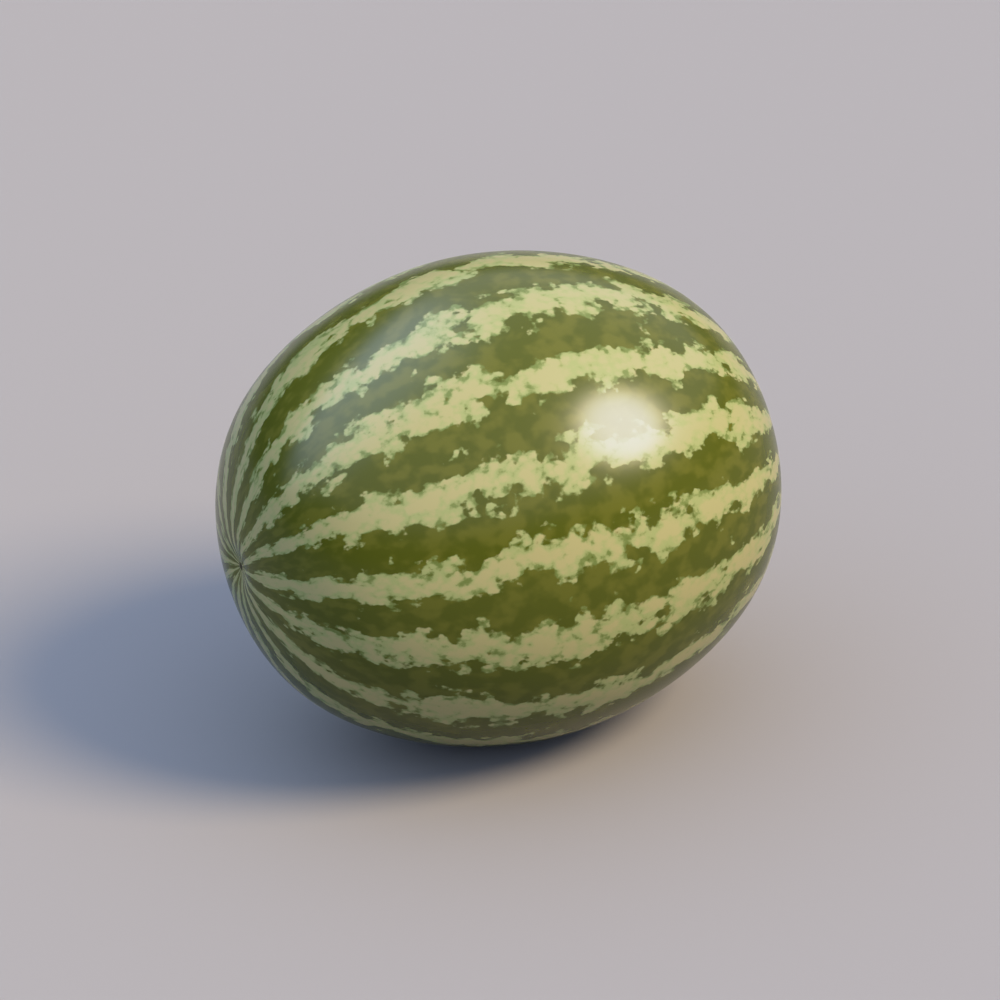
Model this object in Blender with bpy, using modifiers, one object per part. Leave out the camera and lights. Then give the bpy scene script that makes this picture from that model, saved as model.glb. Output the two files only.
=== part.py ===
"""A whole round-oval watermelon lying on its side, as one solid.

Metres, +Z up. The fruit's own axis lies along X: the blossom end faces -X and the
stem end +X. The origin is the middle of the bottom of its box, on the small flat spot
that the fruit rests on.
"""

from math import cos, exp, pi, sin, sqrt

import bmesh
import bpy

# Driving dimensions of the fruit
LENGTH = 0.278  # from end to end, as if neither end had its dimple
DIAMETER = 0.240
SHOULDER = 0.166  # how much fuller than an ellipse the shoulders grow, as a share
REST_CUT = 0.0008  # height that the flat spot takes off the round belly

# The puckered dimple at the blossom end
BLOSSOM_DEPTH = 0.0032
BLOSSOM_WIDTH = 0.0110

# The dimple at the stem end, and the stalk's dry stub that stands in it
STEM_DEPTH = 0.0060
STEM_WIDTH = 0.0170
STUB_HEIGHT = 0.0110
STUB_RADIUS = 0.0042
STUB_FLARE = 0.0036  # how far the stub's foot spreads over the rind
STUB_ROUNDING = 0.0006  # how far its rim is rounded over
STUB_HOLLOW = 0.0009  # depth of the dish in its broken top

# How finely the profile is stepped, from end to end and round the axis
BODY_ROWS = 48
FOOT_ROWS = 5
ROUND_STEPS = 96
END_CROWDING = 0.65  # 0 spaces the rows evenly, 1 would crowd them all at the ends

MERGE_DISTANCE = 0.00005
SHARP_ANGLE = pi / 4

RIND_COLOUR = (0.075, 0.115, 0.025, 1.0)
RIND_ROUGHNESS = 0.30

HALF_LENGTH = LENGTH / 2
RADIUS = DIAMETER / 2


def clear_scene():
    """Removes whatever the startup scene holds."""
    for old in list(bpy.data.objects):
        bpy.data.objects.remove(old)


def new_collection(name):
    collection = bpy.data.collections.new(name)
    bpy.context.scene.collection.children.link(collection)
    return collection


def rind_point(polar):
    """A point (x, r) of the rind. The polar angle is 0 at the blossom end and pi at the stem."""
    along = -cos(polar)
    r = RADIUS * sqrt(max(0.0, 1 - along**2)) * (1 + SHOULDER * along**4)
    blossom_dimple = BLOSSOM_DEPTH * exp(-((r / BLOSSOM_WIDTH) ** 2))
    stem_dimple = STEM_DEPTH * exp(-((r / STEM_WIDTH) ** 2))
    return HALF_LENGTH * along + (blossom_dimple if along < 0 else -stem_dimple), r


def rind_profile():
    """The rind from the middle of the blossom end to where the stub's foot begins."""
    points = []
    for row in range(BODY_ROWS):
        share = row / BODY_ROWS
        polar = pi * (share - END_CROWDING * sin(2 * pi * share) / (2 * pi))
        x, r = rind_point(polar)
        if x < 0 or r > STUB_RADIUS + STUB_FLARE:
            points.append((x, r))
    return points


def stub_profile():
    """The stub from its flared foot up its side, over the rim to the middle of its dished top."""
    foot_x = HALF_LENGTH - STEM_DEPTH
    top_x = foot_x + STUB_HEIGHT
    points = []
    for row in range(FOOT_ROWS):
        share = row / FOOT_ROWS
        height = STUB_HEIGHT * share**1.5
        points.append((foot_x + height, STUB_RADIUS + STUB_FLARE * (1 - share) ** 3))
    points.append((top_x - STUB_ROUNDING, STUB_RADIUS))
    points.append((top_x, STUB_RADIUS - STUB_ROUNDING))
    points.append((top_x - STUB_HOLLOW, 0.0))
    return points


def rind_material():
    """A waxy dark green, the rind's main colour."""
    material = bpy.data.materials.new("rind")
    material.use_nodes = True
    shader = material.node_tree.nodes["Principled BSDF"]
    shader.inputs["Base Color"].default_value = RIND_COLOUR
    shader.inputs["Roughness"].default_value = RIND_ROUGHNESS
    shader.inputs["Metallic"].default_value = 0.0
    return material


def below_floor(collection):
    """A slab with its top at height zero, which takes the flat spot off the belly."""
    bm = bmesh.new()
    bmesh.ops.create_cube(bm, size=LENGTH)
    bmesh.ops.translate(bm, vec=(0, 0, -LENGTH / 2), verts=bm.verts)
    mesh = bpy.data.meshes.new("below_floor")
    bm.to_mesh(mesh)
    bm.free()
    slab = bpy.data.objects.new("below_floor", mesh)
    slab.hide_render = True
    slab.display_type = "WIRE"
    collection.objects.link(slab)
    return slab


def turn_round_x(fruit):
    """Turns the profile round the fruit's axis into one closed skin."""
    screw = fruit.modifiers.new("turned", "SCREW")
    screw.axis = "X"
    screw.angle = 2 * pi
    screw.steps = ROUND_STEPS
    screw.render_steps = ROUND_STEPS
    screw.use_merge_vertices = True
    screw.merge_threshold = MERGE_DISTANCE
    screw.use_smooth_shade = True


def watermelon(collection, slab):
    """The one solid: a profile turned round X, with its flat spot cut at the floor."""
    profile = rind_profile() + stub_profile()
    bm = bmesh.new()
    corners = [bm.verts.new((x, 0.0, r)) for x, r in profile]
    for pair in zip(corners, corners[1:]):
        bm.edges.new(pair)
    mesh = bpy.data.meshes.new("watermelon")
    bm.to_mesh(mesh)
    bm.free()
    mesh.materials.append(rind_material())

    fruit = bpy.data.objects.new("watermelon", mesh)
    middle_x = (min(profile)[0] + max(profile)[0]) / 2
    fruit.location = (-middle_x, 0.0, RADIUS - REST_CUT)
    collection.objects.link(fruit)
    turn_round_x(fruit)
    flat_spot = fruit.modifiers.new("flat_spot", "BOOLEAN")
    flat_spot.operation = "DIFFERENCE"
    flat_spot.solver = "EXACT"
    flat_spot.object = slab
    return fruit


def main():
    clear_scene()
    slab = below_floor(new_collection("watermelon_cutters"))
    watermelon(new_collection("watermelon_parts"), slab)


main()
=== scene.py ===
"""The looks of one whole watermelon that lies on its side on a plain pale floor.

Metres, +Z up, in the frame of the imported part: the fruit's own axis lies along X, with
the blossom end at -X and the stem end, with its dry stub, at +X.
"""

from math import atan2, cos, exp, pi, radians, sin, sqrt, tan

import bmesh
import bpy
from mathutils import Matrix, Vector, noise


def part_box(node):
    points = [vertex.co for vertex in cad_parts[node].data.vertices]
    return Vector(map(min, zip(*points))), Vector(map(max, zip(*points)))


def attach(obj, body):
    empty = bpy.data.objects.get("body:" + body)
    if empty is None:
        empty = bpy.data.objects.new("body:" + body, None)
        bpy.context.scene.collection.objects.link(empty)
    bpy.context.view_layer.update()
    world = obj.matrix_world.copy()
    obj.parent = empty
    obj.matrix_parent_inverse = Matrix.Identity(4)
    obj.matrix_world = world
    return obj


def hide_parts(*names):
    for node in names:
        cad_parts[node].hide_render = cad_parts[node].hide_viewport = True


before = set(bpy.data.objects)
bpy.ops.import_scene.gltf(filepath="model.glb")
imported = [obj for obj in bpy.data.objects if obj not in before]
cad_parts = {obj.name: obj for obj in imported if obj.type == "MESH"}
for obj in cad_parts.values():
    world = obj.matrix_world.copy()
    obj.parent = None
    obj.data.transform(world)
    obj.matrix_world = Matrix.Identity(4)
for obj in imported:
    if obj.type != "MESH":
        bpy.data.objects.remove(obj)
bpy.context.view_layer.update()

# The fruit's own sizes, as the solid has them
HALF_LENGTH = 0.139
SHOULDER = 0.166  # how much fuller than an ellipse the shoulders grow, as a share
BLOSSOM_DEPTH = 0.0032
BLOSSOM_WIDTH = 0.0110
STEM_DEPTH = 0.0060
STEM_WIDTH = 0.0170
STUB_HEIGHT = 0.0110
STUB_RADIUS = 0.0042
STUB_FLARE = 0.0036  # how far the stub's foot spreads over the rind

LOW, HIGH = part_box("watermelon")
RADIUS = (HIGH.y - LOW.y) / 2
AXIS_HEIGHT = HIGH.z - RADIUS

# The stub's foot and top, from the fruit's middle, and that middle in the part's frame
FOOT_X = HALF_LENGTH - STEM_DEPTH
TOP_X = FOOT_X + STUB_HEIGHT
MIDDLE_X = HIGH.x - TOP_X
MIDDLE = Vector((MIDDLE_X, 0.0, AXIS_HEIGHT))

# How finely the rind is stepped, from end to end and round the axis
RIND_ROWS = 190
RIND_STEPS = 320
END_CROWDING = 0.55  # 0 spaces the rows evenly, 1 would crowd them all at the ends

# How finely the stub is stepped, and how far its closed base lies below its foot
STUB_ROWS = 24
STUB_STEPS = 84
STUB_BASE = 0.0005

# The heights of the stub's top, as shares of its whole height
SIDE_HEIGHT = 0.93
RIM_HEIGHT = 0.07
DISH_FLOOR = 0.915
DISH_RISE = 0.07
DISH_REACH = 0.8  # as a share of the stub's radius

# The stub's ribs and its rough grain, as shares of its radius, and its broken top
RIBS = 7
RIB_RELIEF = 0.055
RIB_SWAY = 0.8  # how unevenly the ribs are spaced, in radians
RIB_START = 3  # the ribs reach their full relief at one third of the height
GRAIN_RELIEF = 0.03
GRAIN_ALONG = 150
GRAIN_ACROSS = 900
BROKEN_FROM = 0.8  # as a share of the height
BROKEN_DEPTH = 0.0008

# The light stripes: how many, and how they crowd towards one side
STRIPES = 16
PATTERN_TURN = radians(10.9)  # how far the whole pattern is turned round the fruit's axis
CROWDING = 0.055
CROWDED_SIDE = radians(35)
STRIPE_HALF_WIDTH = 0.238  # as a share of the pitch from stripe to stripe

# How far from the axis each round mark is still whole, and where it is gone
BLOSSOM_SCAR = (0.0010, 0.0030)
STEM_RING = (0.0072, 0.0098)
STUB_HOLLOW = (0.0010, 0.0026)

WAX_ROUGHNESS = 0.23
WAX_GLOSS = 0.20
SCAR_ROUGHENING = 0.45
CORK_ROUGHNESS = 0.78

# The view that the photograph was taken from
VIEW_AZIMUTH = radians(-20.5)
VIEW_ELEVATION = radians(28.0)
VIEW_ROLL = radians(-4.8)
VIEW_ANGLE = radians(5)
FRUIT_SHARE = 0.4909  # the fruit's radius as a share of half the frame
OFF_CENTRE = (-0.0028, 0.0033)  # where the fruit's middle lies, as shares of half the frame

FLOOR_HALF_WIDTH = 15.0

# Light as a share of the white level, and how bright it is shown
WHITE_LEVEL = 2.0
TONES = (
    (0.10, 0.20),
    (0.20, 0.40),
    (0.28, 0.55),
    (0.33, 0.62),
    (0.42, 0.70),
    (0.60, 0.785),
)
BRIGHTEST_TONE = 0.82


def colour(red, green, blue):
    return (red, green, blue, 1.0)


DARK_GREEN = colour(0.049, 0.062, 0.004)
DARK_OLIVE = colour(0.074, 0.084, 0.009)
MID_GREEN = colour(0.100, 0.140, 0.035)
MINT = colour(0.215, 0.258, 0.100)
CREAM = colour(0.270, 0.264, 0.119)
CORK = colour(0.160, 0.110, 0.055)
# A dark cork colour: the stalk's dark fibres, and painted shade in its grooves and hollow top
DARK_CORK_AND_PAINTED_SHADE = colour(0.035, 0.022, 0.012)
CORK_GREEN = colour(0.085, 0.083, 0.030)
SCAR = colour(0.030, 0.026, 0.012)
FLOOR_GREY = colour(0.22, 0.22, 0.22)

BLACK = colour(0.0, 0.0, 0.0)
SOFT_SKY = colour(0.94, 1.06, 1.465)
GLOSS_SKY = colour(1.34, 1.43, 1.64)
GLOSS_DARK = colour(0.09, 0.09, 0.08)
GLOSS_WINDOW = colour(3.4, 4.4, 6.8)


def rind_point(polar):
    """A point (x, r) of the rind, from its middle. The polar angle is 0 at the blossom end."""
    along = -cos(polar)
    r = RADIUS * sqrt(max(0.0, 1 - along**2)) * (1 + SHOULDER * along**4)
    blossom_dimple = BLOSSOM_DEPTH * exp(-((r / BLOSSOM_WIDTH) ** 2))
    stem_dimple = STEM_DEPTH * exp(-((r / STEM_WIDTH) ** 2))
    return HALF_LENGTH * along + (blossom_dimple if along < 0 else -stem_dimple), r


def spun(profile, steps):
    """A bmesh of a profile of (x, r) points turned all the way round the fruit's axis."""
    bm = bmesh.new()
    corners = [bm.verts.new((x, 0.0, r)) for x, r in profile]
    edges = [bm.edges.new(pair) for pair in zip(corners, corners[1:])]
    bmesh.ops.spin(
        bm,
        geom=corners + edges,
        axis=(1, 0, 0),
        cent=(0, 0, 0),
        angle=2 * pi,
        steps=steps,
        use_merge=True,
    )
    bmesh.ops.remove_doubles(bm, verts=bm.verts, dist=1e-6)
    bmesh.ops.recalc_face_normals(bm, faces=bm.faces)
    return bm


def finished(bm, name, material):
    """Makes the bmesh a smooth piece that rides with the fruit's one body."""
    mesh = bpy.data.meshes.new(name)
    bm.to_mesh(mesh)
    bm.free()
    mesh.shade_smooth()
    mesh.materials.append(material)
    piece = bpy.data.objects.new(name, mesh)
    bpy.context.scene.collection.objects.link(piece)
    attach(piece, "root")
    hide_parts("watermelon")
    return piece


def rind(material):
    """The whole skin of the fruit, dimpled at both ends and flat where it rests."""
    profile = []
    for row in range(RIND_ROWS + 1):
        share = row / RIND_ROWS
        polar = pi * (share - END_CROWDING * sin(2 * pi * share) / (2 * pi))
        profile.append(rind_point(polar))
    bm = spun(profile, RIND_STEPS)
    bmesh.ops.translate(bm, vec=MIDDLE, verts=bm.verts)
    # These finer steps would reach a hair further at the blossom end than the solid does
    for corner in bm.verts:
        corner.co.x = max(corner.co.x, LOW.x)
    bmesh.ops.bisect_plane(
        bm,
        geom=bm.verts[:] + bm.edges[:] + bm.faces[:],
        plane_co=(0, 0, 0),
        plane_no=(0, 0, 1),
        clear_inner=True,
    )
    rim = [edge for edge in bm.edges if edge.is_boundary]
    bmesh.ops.contextual_create(bm, geom=rim)
    return finished(bm, "rind", material)


def stub_profile():
    """The stub from the middle of its base, up its side and over the rim, to its dished top."""
    points = [(FOOT_X - STUB_BASE, 0.0)]
    for row in range(STUB_ROWS + 1):
        share = row / STUB_ROWS
        reach = STUB_RADIUS + STUB_FLARE * (1 - share) ** 3
        points.append((FOOT_X + STUB_HEIGHT * SIDE_HEIGHT * share**1.5, reach))
    for turn in (0.25, 0.5, 0.75, 1.0):
        height = SIDE_HEIGHT + RIM_HEIGHT * sin(turn * pi / 2)
        reach = STUB_RADIUS - STUB_HEIGHT * RIM_HEIGHT * (1 - cos(turn * pi / 2))
        points.append((FOOT_X + STUB_HEIGHT * height, reach))
    for share in (0.75, 0.5, 0.25, 0.0):
        height = DISH_FLOOR + DISH_RISE * share**2
        points.append((FOOT_X + STUB_HEIGHT * height, STUB_RADIUS * DISH_REACH * share))
    return points


def stub(material):
    """The stalk's dry stub: flared foot, seven low ribs and a rough broken top."""
    bm = spun(stub_profile(), STUB_STEPS)
    for corner in bm.verts:
        x, y, z = corner.co
        turn = atan2(z, y)
        height = (x - FOOT_X) / STUB_HEIGHT
        rib = cos(RIBS * turn + RIB_SWAY * sin(3 * turn)) * min(1.0, height * RIB_START)
        grain = noise.noise(Vector((x * GRAIN_ALONG, y * GRAIN_ACROSS, z * GRAIN_ACROSS)))
        swell = 1 + RIB_RELIEF * rib + GRAIN_RELIEF * grain
        corner.co.y *= swell
        corner.co.z *= swell
        if height > BROKEN_FROM:
            broken = (height - BROKEN_FROM) / (1 - BROKEN_FROM)
            corner.co.x -= BROKEN_DEPTH * (0.5 + 0.5 * grain) * broken
    # The upper half is stretched so that its highest splinter reaches the solid's own top
    tallest = max(corner.co.x for corner in bm.verts)
    for corner in bm.verts:
        if corner.co.x > FOOT_X + STUB_HEIGHT / 2:
            corner.co.x += (TOP_X - tallest) * (corner.co.x - FOOT_X) / STUB_HEIGHT
    bmesh.ops.translate(bm, vec=MIDDLE, verts=bm.verts)
    return finished(bm, "stalk_stub", material)


class Value:
    """A shader socket that sums can be written with."""

    def __init__(self, tree, socket):
        self.tree = tree
        self.socket = socket

    def math(self, operation, *others):
        made = self.tree.nodes.new("ShaderNodeMath")
        made.operation = operation
        for place, term in zip(made.inputs, (self, *others)):
            if isinstance(term, Value):
                self.tree.links.new(term.socket, place)
            else:
                place.default_value = term
        return Value(self.tree, made.outputs[0])

    def __add__(self, other):
        return self.math("ADD", other)

    __radd__ = __add__

    def __sub__(self, other):
        return self.math("SUBTRACT", other)

    def __rsub__(self, other):
        return self.math("MULTIPLY", -1.0).math("ADD", other)

    def __mul__(self, other):
        return self.math("MULTIPLY", other)

    __rmul__ = __mul__

    def __truediv__(self, other):
        return self.math("DIVIDE", other)

    def __neg__(self):
        return self.math("MULTIPLY", -1.0)


class Nodes:
    """A node tree, with the one way to add nodes to it and a few short ways built on that."""

    def __init__(self, tree):
        self.tree = tree

    def plug(self, place, term):
        """Links a socket, or sets its value."""
        if isinstance(term, Value):
            self.tree.links.new(term.socket, place)
        else:
            place.default_value = term

    def feed(self, made, **inputs):
        """Plugs a node's inputs by name, with _ for a space."""
        for name, term in inputs.items():
            self.plug(made.inputs[name.replace("_", " ")], term)

    def node(self, kind, settings=(), **inputs):
        """Adds a node, sets its settings first and then feeds its inputs."""
        made = self.tree.nodes.new("ShaderNode" + kind)
        for name, setting in dict(settings).items():
            setattr(made, name, setting)
        self.feed(made, **inputs)
        return made

    def out(self, made, name=0):
        return Value(self.tree, made.outputs[name])

    def vectors(self, operation, first, second, name=0):
        """One output of a Vector Math node on two vectors."""
        made = self.node("VectorMath", {"operation": operation})
        self.plug(made.inputs[0], first)
        self.plug(made.inputs[1], second)
        return self.out(made, name)

    def noise(self, vector, scale, detail=2.0, roughness=0.5, offset=(0.0, 0.0, 0.0)):
        """Cloudy noise about 0, at that scale. Each offset gives another part of the noise."""
        made = self.node(
            "TexNoise",
            Vector=self.vectors("ADD", vector, offset),
            Scale=scale,
            Detail=detail,
            Roughness=roughness,
        )
        return self.out(made) - 0.5

    def cells(self, vector, scale, smoothness=0.35, offset=(0.0, 0.0, 0.0)):
        """The distance to the nearest of many scattered points, rounded where they meet."""
        made = self.node(
            "TexVoronoi",
            {"feature": "SMOOTH_F1"},
            Vector=self.vectors("ADD", vector, offset),
            Scale=scale,
            Smoothness=smoothness,
        )
        return self.out(made, "Distance")

    def smooth(self, value, low, high):
        """0 below low, 1 above high, and smooth between."""
        made = self.node(
            "MapRange",
            {"interpolation_type": "SMOOTHSTEP"},
            Value=value,
            From_Min=low,
            From_Max=high,
        )
        return self.out(made)

    def blend(self, kind, share, first, second):
        """The second colour laid over the first in one of the Mix node's ways."""
        made = self.node("Mix", {"data_type": "RGBA", "blend_type": kind})
        self.plug(made.inputs[0], share)
        self.plug(made.inputs[6], first)
        self.plug(made.inputs[7], second)
        return self.out(made, 2)

    def mix(self, share, first, second):
        """Two colours mixed by a share."""
        return self.blend("MIX", share, first, second)


class Finish(Nodes):
    """One material with its Principled shader."""

    def __init__(self, name):
        self.material = bpy.data.materials.new(name)
        self.material.use_nodes = True
        super().__init__(self.material.node_tree)
        self.shader = self.tree.nodes["Principled BSDF"]

    def fruit_place(self):
        """A point's x, y and z from the fruit's middle, and its reach from the fruit's axis."""
        place = self.out(self.node("TexCoord"), "Object")
        split = self.node("SeparateXYZ", Vector=place)
        x = self.out(split, "X") - MIDDLE_X
        y = self.out(split, "Y")
        z = self.out(split, "Z") - AXIS_HEIGHT
        return x, y, z, (y * y + z * z).math("SQRT")


def rind_finish():
    """The waxy striped rind. Every pattern lies on the fruit's own angle round and angle along."""
    finish = Finish("rind")
    x, y, z, reach = finish.fruit_place()
    around = z.math("ARCTAN2", -y) + PATTERN_TURN
    along = (reach * (HALF_LENGTH / RADIUS)).math("ARCTAN2", -x)
    skin = finish.out(
        finish.node("CombineXYZ", X=around.math("COSINE"), Y=around.math("SINE"), Z=along)
    )

    # The stripes crowd and sway. A point is 0 apart at the middle of a light stripe, and 0.5
    # halfway to the next.
    meander = finish.noise(skin, 2.2, 1.0, offset=(3.1, 0.0, 7.0))
    waver = finish.noise(skin, 6.5, 1.5, offset=(5.0, 5.0, 1.0))
    crowd = (around - CROWDED_SIDE).math("SINE") * CROWDING
    sway = meander * 0.35 + waver * 0.20
    apart = ((around + crowd) * (STRIPES / (2 * pi)) + sway).math("PINGPONG", 0.5)

    # A light stripe's ragged edge: broad lobes, round puffs and fine teeth
    lobes = finish.noise(skin, 9.0, 3.0, 0.56, offset=(0.0, 5.0, 0.0))
    puffs = finish.cells(skin, 21.0, offset=(4.0, 0.0, 3.0))
    fine = finish.noise(skin, 40.0, 3.0, 0.60, offset=(1.0, 6.0, 2.0))
    inside = STRIPE_HALF_WIDTH - apart + lobes * 1.05 + (0.40 - puffs) * 0.18 + fine * 0.17
    light = finish.smooth(inside, -0.042, 0.036)

    # Its colours, from the green edge over mint to the cream heart
    cobbles = finish.cells(skin, 27.0, 0.25, offset=(6.0, 2.0, 1.0))
    speck = finish.noise(skin, 34.0, 3.5, 0.62, offset=(7.0, 3.0, 2.0))
    depth = inside * 0.8 + (0.36 - cobbles) * 0.28 + speck * 0.36
    leaf = finish.smooth(depth, -0.11, 0.035)
    blotch = finish.noise(skin, 15.0, 3.0, 0.58, offset=(9.0, 0.0, 2.0))
    pale = finish.smooth(depth + blotch * 0.50 + waver * 0.30, -0.04, 0.19)
    light_colour = finish.mix(leaf, MID_GREEN, finish.mix(pale, MINT, CREAM))

    # The dark rind between the stripes, mottled in two greens
    cloud = finish.noise(skin, 12.0, offset=(0.0, 1.0, 8.0))
    patch = finish.cells(skin, 17.0, offset=(2.0, 2.0, 5.0))
    mottle = finish.smooth(cloud + (0.4 - patch) * 0.25, -0.12, 0.14)
    dark_colour = finish.mix(mottle, DARK_GREEN, DARK_OLIVE)
    skin_colour = finish.mix(light, dark_colour, light_colour)

    # The blossom end's dark scar, and the corky ring round the stub's foot
    blossom_scar = (1 - finish.smooth(reach, *BLOSSOM_SCAR)) * x.math("LESS_THAN", 0.0)
    ring_reach = reach + lobes * 0.007 + fine * 0.005
    stem_ring = (1 - finish.smooth(ring_reach, *STEM_RING)) * x.math("GREATER_THAN", 0.0)
    ring_colour = finish.mix(finish.smooth(speck + cloud, -0.13, 0.10), CORK_GREEN, CORK)
    skin_colour = finish.mix(blossom_scar, skin_colour, SCAR)
    skin_colour = finish.mix(stem_ring, skin_colour, ring_colour)

    finish.feed(
        finish.shader,
        Base_Color=skin_colour,
        Roughness=WAX_ROUGHNESS + (blossom_scar + stem_ring) * SCAR_ROUGHENING,
        Specular_IOR_Level=WAX_GLOSS,
        IOR=1.5,
    )
    return finish.material


def stalk_finish():
    """The dry corky stalk: fibres along it, with painted shade darkening its grooves and its
    hollow top.
    """
    finish = Finish("stalk")
    x, y, z, reach = finish.fruit_place()
    fibre_place = finish.out(
        finish.node("CombineXYZ", X=x * 60.0, Y=y / reach * 3.0, Z=z / reach * 3.0)
    )
    fibre = finish.noise(fibre_place, 2.6, 4.0, 0.62)
    # Dark fibres, darkest where the bump sinks: grain, with painted shade in the grooves
    bark_with_groove_shade = finish.mix(finish.smooth(fibre, -0.16, 0.16), DARK_CORK_AND_PAINTED_SHADE, CORK)
    # Painted shade in the hollow of the stalk's broken top
    top = finish.smooth(x, FOOT_X + STUB_HEIGHT * 0.9, TOP_X)
    painted_hollow_shade = (1 - finish.smooth(reach, *STUB_HOLLOW)) * top
    bump = finish.node("Bump", Strength=0.6, Distance=0.0006, Height=fibre)
    finish.feed(
        finish.shader,
        Base_Color=finish.mix(painted_hollow_shade, bark_with_groove_shade, DARK_CORK_AND_PAINTED_SHADE),
        Roughness=CORK_ROUGHNESS + fibre * 0.3,
        Normal=finish.out(bump),
    )
    return finish.material


def floor_finish():
    """An even matt grey."""
    finish = Finish("floor")
    finish.feed(finish.shader, Base_Color=FLOOR_GREY, Roughness=0.9, Specular_IOR_Level=0.1)
    return finish.material


def floor(material):
    """A wide plain floor."""
    bm = bmesh.new()
    bmesh.ops.create_grid(bm, x_segments=1, y_segments=1, size=FLOOR_HALF_WIDTH)
    mesh = bpy.data.meshes.new("floor")
    bm.to_mesh(mesh)
    bm.free()
    mesh.materials.append(material)
    plane = bpy.data.objects.new("floor", mesh)
    bpy.context.scene.collection.objects.link(plane)


def toward(azimuth, elevation):
    """The unit vector that points that way from the fruit."""
    return Vector((cos(azimuth) * cos(elevation), sin(azimuth) * cos(elevation), sin(elevation)))


def sun(name, azimuth, elevation, width, tint, strength):
    """A far lamp at that place in the sky and of that width there, all in degrees."""
    data = bpy.data.lights.new(name, "SUN")
    data.energy = strength
    data.angle = radians(width)
    data.color = tint
    lamp = bpy.data.objects.new(name, data)
    way = toward(radians(azimuth), radians(elevation))
    lamp.rotation_euler = way.to_track_quat("Z", "Y").to_euler()
    bpy.context.scene.collection.objects.link(lamp)
    return lamp


def lights():
    """A warm broad key from the right, and a sun that shows only as the rind's highlight."""
    key = sun(
        "key",
        azimuth=-49.5,
        elevation=43.2,
        width=21.5,
        tint=(1.0, 0.745, 0.452),
        strength=5.5,
    )
    key.visible_glossy = False
    sheen = sun(
        "sheen",
        azimuth=-36.4,
        elevation=36.4,
        width=28.5,
        tint=(1.0, 0.86, 0.63),
        strength=10.8,
    )
    sheen.visible_diffuse = False


def sky():
    """A soft cool sky that lights the scene, and another that only the rind's gloss shows."""
    world = bpy.data.worlds.new("studio")
    world.use_nodes = True
    bpy.context.scene.world = world
    nodes = Nodes(world.node_tree)
    way = nodes.out(nodes.node("TexCoord"), "Generated")
    split = nodes.node("SeparateXYZ", Vector=way)
    x = nodes.out(split, "X")
    y = nodes.out(split, "Y")
    height = nodes.out(split, "Z")

    def glow(azimuth, elevation, reach=60, full=40):
        """A round patch of sky in that direction: 1 out to full degrees, 0 from reach degrees."""
        middle = toward(radians(azimuth), radians(elevation))
        near = nodes.vectors("DOT_PRODUCT", way, middle, "Value")
        return nodes.smooth(near, cos(radians(reach)), cos(radians(full)))

    # The sky that lights the scene: dark near the floor, and brighter in three places
    open_sky = nodes.smooth(height, 0.15, 0.41)
    soft = nodes.mix(open_sky, BLACK, SOFT_SKY)
    for azimuth, elevation, extra in (
        (-65, 28, colour(0.17, 0.20, 0.30)),
        (130, 35, colour(0.12, 0.24, 0.31)),
        (-90, 40, colour(0.13, 0.17, 0.25)),
    ):
        soft = nodes.blend("ADD", glow(azimuth, elevation) * open_sky, soft, extra)

    # The sky in the gloss: dark low down, higher or lower by the side, with a bright patch
    # behind the fruit on the left and a dark round one below it
    side = (y.math("ARCTAN2", x) - radians(38)).math("COSINE").math("MAXIMUM", 0.0)
    lifted = height - y * 0.14 + side * side * 0.28
    dome = nodes.smooth(lifted, sin(radians(19)), sin(radians(32)))
    shown = nodes.mix(dome, GLOSS_DARK, GLOSS_SKY)
    shown = nodes.blend("ADD", glow(132, 47, reach=47, full=6), shown, GLOSS_WINDOW)
    shown = nodes.mix(glow(114, 6, reach=41, full=34), shown, GLOSS_DARK)

    glossy = nodes.out(nodes.node("LightPath"), "Is Glossy Ray")
    nodes.feed(world.node_tree.nodes["Background"], Color=nodes.mix(glossy, soft, shown))


def camera():
    """A long lens at the photograph's angle."""
    back = toward(VIEW_AZIMUTH - pi / 2, VIEW_ELEVATION)
    right = Vector((cos(VIEW_AZIMUTH), sin(VIEW_AZIMUTH), 0.0))
    up = back.cross(right)
    roll = Matrix.Rotation(VIEW_ROLL, 3, back)
    right = roll @ right
    up = roll @ up
    half_frame = RADIUS / FRUIT_SHARE
    aim = MIDDLE - (right * OFF_CENTRE[0] + up * OFF_CENTRE[1]) * half_frame
    data = bpy.data.cameras.new("camera")
    data.sensor_width = 36.0
    data.angle = VIEW_ANGLE
    data.clip_end = 100.0
    shot = bpy.data.objects.new("camera", data)
    shot.location = aim + back * half_frame / tan(VIEW_ANGLE / 2)
    shot.rotation_euler = Matrix((right, up, back)).transposed().to_euler()
    bpy.context.scene.collection.objects.link(shot)
    bpy.context.scene.camera = shot


def tones():
    """Plain colours with a soft shoulder, so that the highlight stays a warm white."""
    view = bpy.context.scene.view_settings
    view.view_transform = "Standard"
    view.use_curve_mapping = True
    mapping = view.curve_mapping
    mapping.white_level = (WHITE_LEVEL, WHITE_LEVEL, WHITE_LEVEL)
    curve = mapping.curves[3]
    curve.points[0].location = (0.0, 0.0)
    curve.points[1].location = (1.0, BRIGHTEST_TONE)
    for light, shown in TONES:
        curve.points.new(light, shown)
    mapping.update()


tones()
rind(rind_finish())
stub(stalk_finish())
floor(floor_finish())
lights()
sky()
camera()
